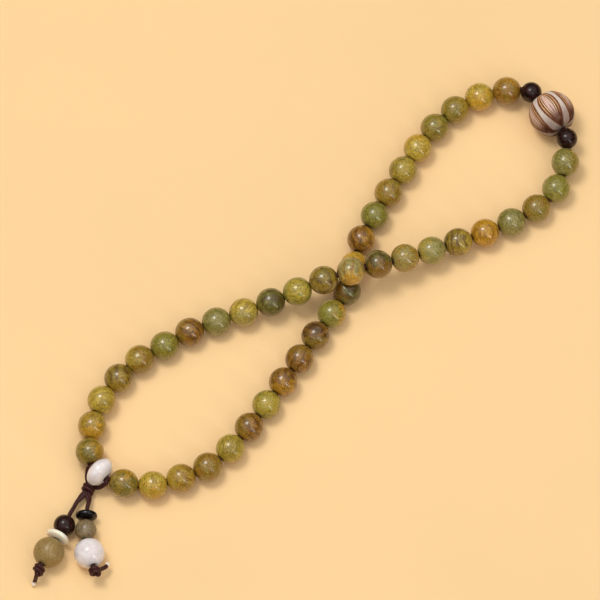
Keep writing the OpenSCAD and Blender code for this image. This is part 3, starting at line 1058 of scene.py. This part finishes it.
# Main tone, vein tone, patch tone and patch side of every green bead, along the cord
BEAD_TONES = """
olive pine ochre right, gold olive amber near, lime olive gold right, olive umber gold near,
olive bark lime left, moss olive leaf top, bark umber olive left, moss pine sage top,
lime olive sage near, pine umber moss left, leaf moss lime top, olive umber moss far,
sage bark amber near, pine umber bark near, gold bark sage top, sage moss lime left,
olive umber lime right, ochre bark amber far, moss pine sage top, olive bark moss near,
leaf moss sage left, moss sage olive right, bark olive ochre far, lime gold amber near,
olive moss gold right, olive moss leaf far, lime gold amber far, olive moss lime top,
olive bark gold left, moss pine leaf top, bark umber ochre right, amber gold lime far,
pine umber bark left, leaf moss ochre right, umber bark olive near, bark umber olive far,
bark umber ochre near, leaf olive lime top, bark umber olive left, lime leaf olive top,
olive bark bark far, gold bark lime left, lime gold ochre near, olive pine ochre far
""".replace("\n", "").split(",")

BEAD_HOLE = 1.6 * MM
GAP_LEFT = 0.03 * MM
CROSSING_SHARE = 0.2
GURU_HOLE = 2.5 * MM
PENDANT_HOLE = 1.8 * MM


class MISBAHA_OT_green_beads(bpy.types.Operator):
    """Turns the green wood beads of the strand, each with its own tones and grain"""
    bl_idname = "misbaha.green_beads"
    bl_label = "Green wood beads"

    def execute(self, context):
        wood = context.scene.misbaha_wood
        for number, row in enumerate(BEAD_TONES, start=1):
            *tones, side = row.split()
            name = bead_name(number)
            diameter, length = size_of(name)
            at_crossing = STRAND.index(name) in UPPER_CROSSING + LOWER_CROSSING
            most = wood.closing * (CROSSING_SHARE if at_crossing else 1)
            longer = max(0, min(most, room_beside(name) / 2 - GAP_LEFT))
            outer = ball_outline(diameter, BEAD_HOLE, wood.mouth, longer=longer)
            thread_piece(
                name, outer, BEAD_HOLE, "green_wood",
                seed=number, side=SIDES[side], wobble=wood.wobble,
                tones=[getattr(wood, name_of_tone) for name_of_tone in tones],
            )
        return {"FINISHED"}


class MISBAHA_OT_rosewood_beads(bpy.types.Operator):
    """Turns the dark rosewood beads: two beside the lotus bead and one on the pendant"""
    bl_idname = "misbaha.rosewood_beads"
    bl_label = "Rosewood beads"

    def execute(self, context):
        mouth = context.scene.misbaha_wood.mouth
        pieces = (
            ("spacer_bead_right", BEAD_HOLE), ("spacer_bead_left", BEAD_HOLE),
            ("pendant_rosewood_bead", PENDANT_HOLE),
        )
        for seed, (name, hole) in enumerate(pieces, start=60):
            diameter, length = size_of(name)
            thread_piece(name, ball_outline(diameter, hole, mouth), hole, "dark_wood", seed=seed,
                         wobble=0.03 * MM)
        return {"FINISHED"}


class MISBAHA_OT_lotus_bead(bpy.types.Operator):
    """Turns the pale seed bead and carves its petals"""
    bl_idname = "misbaha.lotus_bead"
    bl_label = "Carved lotus bead"

    def execute(self, context):
        mouth = context.scene.misbaha_wood.mouth
        diameter, length = size_of("lotus_bead")
        thread_piece(
            "lotus_bead", seed_outline(diameter, length, BEAD_HOLE, mouth), BEAD_HOLE,
            "carved_seed", seed=70, sides=288, fibres_along=True,
            petals={"Petals": 6.0, "Turn": math.radians(38)},
        )
        return {"FINISHED"}


class MISBAHA_OT_quartz_beads(bpy.types.Operator):
    """Turns the guru bead and the pendant's large ball from milky quartz"""
    bl_idname = "misbaha.quartz_beads"
    bl_label = "Quartz beads"

    def execute(self, context):
        mouth = context.scene.misbaha_wood.mouth
        diameter, length = size_of("guru_bead")
        thread_piece("guru_bead", cushion_outline(diameter, length, GURU_HOLE, mouth, 2.0),
                     GURU_HOLE, "milky_quartz", seed=80, sides=80, wobble=0.04 * MM)
        diameter, length = size_of("pendant_quartz_bead")
        thread_piece("pendant_quartz_bead", ball_outline(diameter, PENDANT_HOLE, mouth),
                     PENDANT_HOLE, "milky_quartz", seed=81, sides=80)
        return {"FINISHED"}


class MISBAHA_OT_pendant_pieces(bpy.types.Operator):
    """Turns the pendant's dry green bead, shell disc, black rondelle and olive stone"""
    bl_idname = "misbaha.pendant_pieces"
    bl_label = "Pendant pieces"

    def execute(self, context):
        mouth = context.scene.misbaha_wood.mouth
        hole = PENDANT_HOLE
        diameter, length = size_of("pendant_green_bead")
        thread_piece("pendant_green_bead", ball_outline(diameter, hole, mouth), hole,
                     "matte_green_wood", seed=90, sides=80, wobble=0.05 * MM, fibres_along=True)
        diameter, length = size_of("pendant_shell_disc")
        thread_piece("pendant_shell_disc",
                     cushion_outline(diameter, length, hole, 0.6 * mouth, 3.2), hole,
                     "white_shell", seed=91, wobble=0.03 * MM)
        diameter, length = size_of("pendant_black_rondelle")
        thread_piece("pendant_black_rondelle",
                     cushion_outline(diameter, length, hole, 0.6 * mouth, 2.6), hole,
                     "black_stone", seed=92)
        diameter, length = size_of("pendant_olive_bead")
        thread_piece("pendant_olive_bead", ball_outline(diameter, hole, mouth), hole,
                     "olive_stone", seed=93, wobble=0.03 * MM)
        return {"FINISHED"}


# ---------------------------------------------------------------- cords

def smooth_route(points, spacing=0.2 * MM):
    """A smooth line through a list of points, by a centripetal spline."""
    ends = [points[0] * 2 - points[1], *points, points[-1] * 2 - points[-2]]
    line = []
    for a, b, c, d in zip(ends, ends[1:], ends[2:], ends[3:]):
        steps = max(2, round((c - b).length / spacing))
        first = math.sqrt((b - a).length)
        middle = math.sqrt((c - b).length)
        last = math.sqrt((d - c).length)
        leave = (c - b) + ((b - a) / first - (c - a) / (first + middle)) * middle
        reach = (c - b) + ((d - c) / last - (d - b) / (middle + last)) * middle
        for i in range(steps):
            t = i / steps
            line.append(
                b * (2 * t ** 3 - 3 * t ** 2 + 1) + leave * (t ** 3 - 2 * t ** 2 + t)
                + c * (3 * t ** 2 - 2 * t ** 3) + reach * (t ** 3 - t ** 2)
            )
    return line + [points[-1]]


def relaxed(line, passes=8):
    """The same line with its tight kinks eased. Its two ends stay where they are."""
    for turn in range(passes):
        line = [
            line[0],
            *[(a + b * 2 + c) / 4 for a, b, c in zip(line, line[1:], line[2:])],
            line[-1],
        ]
    return line


def route_object(lines):
    """Curve object of several routes. Each route is a list of (point, share of full width)."""
    curve = bpy.data.curves.new("route", "CURVE")
    curve.dimensions = "3D"
    for line in lines:
        spline = curve.splines.new("POLY")
        spline.points.add(len(line) - 1)
        for point, (place, share) in zip(spline.points, line):
            point.co = (*place, 1)
            point.radius = share
    return link(bpy.data.objects.new("route", curve))


def cord_piece(name, lines, cut_ends=()):
    """One cord mesh. Near each cut end its pale core shows."""
    settings = bpy.context.scene.misbaha_cord
    obj = route_object(lines)
    add_modifier(obj, tree_named("cord"), {
        "Diameter": settings.diameter, "Material": material_named("waxed_cord"),
    })
    piece = settled(obj, name)
    cut = piece.data.attributes.new("cut_end", "FLOAT", "POINT")
    for vertex in piece.data.vertices:
        near = min([(vertex.co - end).length for end in cut_ends], default=1)
        frayed = noise.noise(vertex.co / MM * 1.7) * 0.35 * MM
        cut.data[vertex.index].value = max(0, min(1, (TIP_LENGTH - near + frayed) / TIP_FADE))
    return piece


def strand_points(names):
    """Points of the cord's middle line through a run of beads."""
    points = []
    for name in names:
        middle, way = hole_of(name)
        half = size_of(name)[1] * 0.42
        points += [middle - way * half, middle, middle + way * half]
    return points


def widths(line, share=1.0):
    return [(point, share) for point in line]


class MISBAHA_OT_strand_cord(bpy.types.Operator):
    """Runs the cord through the strand, with a bending length at each fold of the crossing"""
    bl_idname = "misbaha.strand_cord"
    bl_label = "Strand cord"

    def execute(self, context):
        upper, lower = UPPER_CROSSING, LOWER_CROSSING
        near = STRAND[lower[2]:] + STRAND[:upper[0] + 1]
        far = STRAND[upper[2]:lower[0] + 1]
        for name, names, body in (
            ("strand_cord_near_loop", near, "near_strand"),
            ("strand_cord_far_loop", far, "far_strand"),
        ):
            route = strand_points(names)[1:-1]
            piece = cord_piece(name, [widths(smooth_route(route))])
            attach(piece, body)
            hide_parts(name.replace("_loop", ""))
        bends = (
            (upper[0], upper[1], "near_strand", "fold_link"),
            (upper[1], upper[2], "fold_link", "far_strand"),
            (lower[0], lower[1], "far_strand", "fold_link"),
            (lower[1], lower[2], "fold_link", "near_strand"),
        )
        for number, (a, b, body_a, body_b) in enumerate(bends, start=1):
            route = strand_points([STRAND[a], STRAND[b]])[1:-1]
            piece = cord_piece(f"strand_cord_bend_{number}", [widths(smooth_route(route))])
            middle = (route[1] + route[2]) / 2
            way = (route[2] - route[1]).normalized() * 1.2 * MM
            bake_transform(piece, body_a, body_b, start=middle - way, end=middle + way)
            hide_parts("strand_cord_link")
        return {"FINISHED"}


# Routes of the free cords in the part's own layout, in millimetres. The guru bead's middle is
# known both here and in the frame, and the function laid moves a point by the difference.
LEFT_LEG = [(-78, 6.4, 1.9), (-85.4, 3.9, 2.8), (-102.6, -2, 5)]
LEFT_TAIL = [(-102.6, -2, 5), (-103.7, -2.4, 3.6), (-104.7, -2.6, 2), (-105.7, -2.8, 0.8)]
RIGHT_LEG = [(-77.2, 4.3, 2.1), (-81, 1.5, 3), (-87.2, -4.4, 3.4), (-92.1, -13.4, 5.5)]
RIGHT_TAIL = [(-92.1, -13.4, 5.5), (-90.4, -14.1, 4.8), (-89, -14, 3.8), (-87.6, -13.6, 2.7)]
MAIN_KNOT = (-75.8, 6.3, 1.9)
GURU = (-71, 6.5, 6)
LOOKED_AT = (6.52, 5.67, 0)


def laid(point):
    """A point of the part's layout, in metres, in the frame."""
    return Vector(point) * MM + hole_of("guru_bead")[0] - Vector(GURU) * MM


# The path of a double overhand knot: distance along its axis and from it, both in millimetres,
# and the angle round it in degrees. The cord runs up the core, wraps back down outside and,
# if it is tucked, leaves up the core.
KNOT_AXIS = Vector((-0.86, -0.42, 0.2)).normalized()
KNOT_REACH = 1.9 * MM
TIP_LENGTH = 1.25 * MM
TIP_FADE = 0.3 * MM
TIP_FLARE = 0.8 * MM
KNOT_CORE = [(-1.5, 0.1, 0), (-0.8, 0.3, 10), (0.3, 0.3, 20), (1.0, 0.45, 45), (1.28, 0.92, 95)]
KNOT_WRAPS = [(0.8 - 1.6 * i / 14, 1.3, 160 + 560 * i / 14) for i in range(15)]
KNOT_TUCK = [(-1.28, 0.92, 785), (-1.0, 0.45, 835), (-0.3, 0.3, 860), (0.8, 0.3, 870), (1.5, 0.2, 880)]


def knot_turns(middle, way, face, tucked=True, share=1.0):
    """Places the knot's path at a point. The cord comes in along the direction way."""
    side = (face - way * way.dot(face)).normalized()
    other = way.cross(side)
    return [
        middle + (way * z + (side * math.cos(math.radians(a)) + other * math.sin(math.radians(a))) * r)
        * MM * share
        for z, r, a in KNOT_CORE + KNOT_WRAPS + (KNOT_TUCK if tucked else [])
    ]


class MISBAHA_OT_pendant_cords(bpy.types.Operator):
    """Ties the main knot under the guru bead and runs the two legs to their end knots"""
    bl_idname = "misbaha.pendant_cords"
    bl_label = "Pendant cords and knots"

    def execute(self, context):
        settings = context.scene.misbaha_cord
        thick = settings.diameter
        squeeze = settings.knot_squeeze
        guru, way = hole_of("guru_bead")
        knot = laid(MAIN_KNOT)
        across, long = size_of("guru_bead")
        toward = knot - guru - way * (knot - guru).dot(way)
        toward.normalize()
        clear = 0.5 * thick + 0.12 * MM
        yoke_lines = []
        for sign, leg, wrapped in ((-1, RIGHT_LEG, True), (1, LEFT_LEG, False)):
            out = way * sign if way.y > 0 else -way * sign
            entry = [guru + out * (long / 2 - 1.5 * MM) + toward * 0.7 * MM]
            for a in map(math.radians, (80, 62, 45, 28)):
                flat, deep = long / 2 * math.sin(a), across / 2 * math.cos(a)
                skin = out * flat + toward * deep
                lean = (out * flat / long ** 2 + toward * deep / across ** 2).normalized()
                entry.append(guru + skin + lean * clear)
            core = [knot - KNOT_AXIS * MM, knot + KNOT_AXIS * MM]
            turns = knot_turns(knot, KNOT_AXIS, way, share=1.08) if wrapped else core
            leave = [laid(leg[0]) + (laid(leg[1]) - laid(leg[0])) * 0.3]
            line = relaxed(smooth_route(entry + turns + leave))
            yoke_lines.append([
                (point, squeeze * 1.1 if wrapped and (point - knot).length < KNOT_REACH else 1.0)
                for point in line
            ])
        yoke = cord_piece("yoke_cord_and_main_knot", yoke_lines)
        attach(yoke, "yoke")
        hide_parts("yoke_cord")
        legs = (
            ("left", LEFT_LEG, LEFT_TAIL, "left_leg", "pendant_green_bead"),
            ("right", RIGHT_LEG, RIGHT_TAIL, "right_leg", "pendant_quartz_bead"),
        )
        for side, leg, tail, body, last_bead in legs:
            route = [knot + (laid(leg[0]) - knot) * 0.35, *[laid(point) for point in leg[:-1]]]
            bead, bead_way = hole_of(last_bead)
            if bead_way.dot(laid(leg[-1]) - bead) < 0:
                bead_way = -bead_way
            half = size_of(last_bead)[1] / 2
            if side == "left":
                route = route[:-1]
            route += [bead, bead + bead_way * half * 0.9]
            end = laid(leg[-1])
            tip = laid(tail[-1])
            face = (tip - end).cross(bead_way)
            turns = knot_turns(end, bead_way, face, tucked=side == "left")
            line = relaxed(smooth_route(route + turns + [laid(point) for point in tail[2:]]))
            run = [
                (point, squeeze if (point - end).length < KNOT_REACH
                 else 1.0 + 0.25 * max(0, 1 - (point - tip).length / TIP_FLARE))
                for point in line
            ]
            piece = cord_piece(f"{side}_leg_cord_and_knot", [run], cut_ends=[line[-1]])
            first, second = laid(leg[0]), laid(leg[1])
            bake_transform(piece, "yoke", body, start=knot, end=first + (second - first) * 0.1)
            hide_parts(f"{side}_leg_cord")
        return {"FINISHED"}


# ---------------------------------------------------------------- stage

# The two lights, measured from the middle of the view in metres
SOFTBOX_AT = Vector((-0.068, 0.314, 0.948)).normalized() * 1.1
SOFTBOX_SIZE = (0.35, 0.35)
STRIP_AT = Vector((-0.07, -0.865, 0.51)).normalized() * 1.2
STRIP_SIZE = (0.06, 1.1)
STRIP_LEAN = Vector((-0.27, 0.54, 0.8))
CAMERA_AZIMUTH = math.radians(-45)
CAMERA_ELEVATION = math.radians(67)
FLOOR_HALF_WIDTH = 3.0


def area_light(name, place, target, size_x, size_y, power, colour, upright=UP):
    """A rectangular light that faces the target, its height along the upright direction."""
    data = bpy.data.lights.new(name, "AREA")
    data.shape = "RECTANGLE"
    data.size = size_x
    data.size_y = size_y
    data.energy = power
    data.color = colour
    lamp = link(bpy.data.objects.new(name, data))
    back = (place - target).normalized()
    aside = upright.cross(back).normalized()
    facing = Matrix((aside, back.cross(aside), back)).transposed()
    lamp.location = place
    lamp.rotation_euler = facing.to_euler()
    return lamp


def paper(colour):
    """Plain pale paper with a faint tooth."""
    material, tree, shader = new_material("pale_paper")
    at = add_node(tree, "ShaderNodeTexCoord").outputs["Object"]
    cloud = noise_of(tree, at, 9.0, 3.0)
    tooth = noise_of(tree, at, 900.0, 3.0, 0.6)
    base = opaque(colour)
    shade = opaque([channel * 0.965 for channel in colour])
    set_shader(tree, shader, Base_Color=blended(tree, eased(tree, cloud, 0.3, 0.7), shade, base),
               Roughness=0.85, Specular_IOR_Level=0.2)
    add_bump(tree, shader, tooth, 0.15, 0.05 * MM)
    return material


class MISBAHA_OT_stage(bpy.types.Operator):
    """Sets up the pale floor, the softbox, the strip light, the even sky and the camera"""
    bl_idname = "misbaha.stage"
    bl_label = "Stage"

    def execute(self, context):
        look = context.scene.misbaha_stage
        middle = laid(LOOKED_AT)
        level = math.cos(CAMERA_ELEVATION)
        back = Vector((
            math.sin(CAMERA_AZIMUTH) * level, -math.cos(CAMERA_AZIMUTH) * level,
            math.sin(CAMERA_ELEVATION),
        ))
        data = bpy.data.cameras.new("camera")
        data.sensor_width = 36
        data.lens = 36 * look.distance / look.width
        data.clip_start = 0.1
        camera = link(bpy.data.objects.new("camera", data))
        camera.location = middle + back * look.distance
        camera.rotation_euler = (-back).to_track_quat("-Z", "Y").to_euler()
        context.scene.camera = camera

        mesh = bpy.data.meshes.new("floor")
        half = FLOOR_HALF_WIDTH
        mesh.from_pydata(
            [(-half, -half, 0), (half, -half, 0), (half, half, 0), (-half, half, 0)], [],
            [(0, 1, 2, 3)],
        )
        mesh.materials.append(paper(look.floor))
        floor = link(bpy.data.objects.new("floor", mesh))

        area_light("softbox", middle + SOFTBOX_AT, middle, *SOFTBOX_SIZE, look.key_power,
                   (1.0, 0.98, 0.95))
        area_light("strip", middle + STRIP_AT, middle, *STRIP_SIZE, look.strip_power,
                   (1.0, 0.99, 0.97), upright=STRIP_LEAN)
        world = bpy.data.worlds.new("sky")
        world.use_nodes = True
        tree = world.node_tree
        tree.nodes.clear()
        way = add_node(tree, "ShaderNodeTexCoord").outputs["Generated"]
        height = add_node(tree, "ShaderNodeSeparateXYZ", {0: way}).outputs[2]
        light = eased(tree, height, 0.3, 1.0, 0.04 * look.sky, 2.45 * look.sky)
        background = add_node(
            tree, "ShaderNodeBackground", {"Color": (1.0, 0.985, 0.96, 1.0), "Strength": light}
        )
        add_node(tree, "ShaderNodeOutputWorld", {"Surface": background.outputs[0]})
        context.scene.world = world
        context.scene.view_settings.view_transform = "Standard"
        return {"FINISHED"}


# ---------------------------------------------------------------- panel and running

OPERATORS = (
    MISBAHA_OT_stage,
    MISBAHA_OT_pendant_cords,
    MISBAHA_OT_strand_cord,
    MISBAHA_OT_green_beads,
    MISBAHA_OT_rosewood_beads,
    MISBAHA_OT_lotus_bead,
    MISBAHA_OT_quartz_beads,
    MISBAHA_OT_pendant_pieces,
)
GROUP_SETTINGS = {
    "misbaha_wood": MISBAHA_PG_wood,
    "misbaha_stones": MISBAHA_PG_stones,
    "misbaha_cord": MISBAHA_PG_cord,
    "misbaha_stage": MISBAHA_PG_stage,
}


class MISBAHA_PT_panel(bpy.types.Panel):
    """Lists the settings and the operators in the order in which they run"""
    bl_idname = "MISBAHA_PT_panel"
    bl_label = "Misbaha prayer beads"
    bl_space_type = "VIEW_3D"
    bl_region_type = "UI"
    bl_category = "Misbaha"

    def draw(self, context):
        for operator in OPERATORS:
            self.layout.operator(operator.bl_idname)
        for name, group in GROUP_SETTINGS.items():
            box = self.layout.box()
            settings = getattr(context.scene, name)
            for key in group.__annotations__:
                box.prop(settings, key)


def register():
    for group in (*GROUP_SETTINGS.values(), *OPERATORS, MISBAHA_PT_panel):
        bpy.utils.register_class(group)
    for name, group in GROUP_SETTINGS.items():
        setattr(bpy.types.Scene, name, bpy.props.PointerProperty(type=group))


def unregister():
    for name in GROUP_SETTINGS:
        delattr(bpy.types.Scene, name)
    for group in (MISBAHA_PT_panel, *reversed(OPERATORS), *reversed(GROUP_SETTINGS.values())):
        bpy.utils.unregister_class(group)


def main():
    register()
    for operator in OPERATORS:
        category, name = operator.bl_idname.split(".")
        getattr(getattr(bpy.ops, category), name)()
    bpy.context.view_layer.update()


if __name__ == "__main__":
    main()
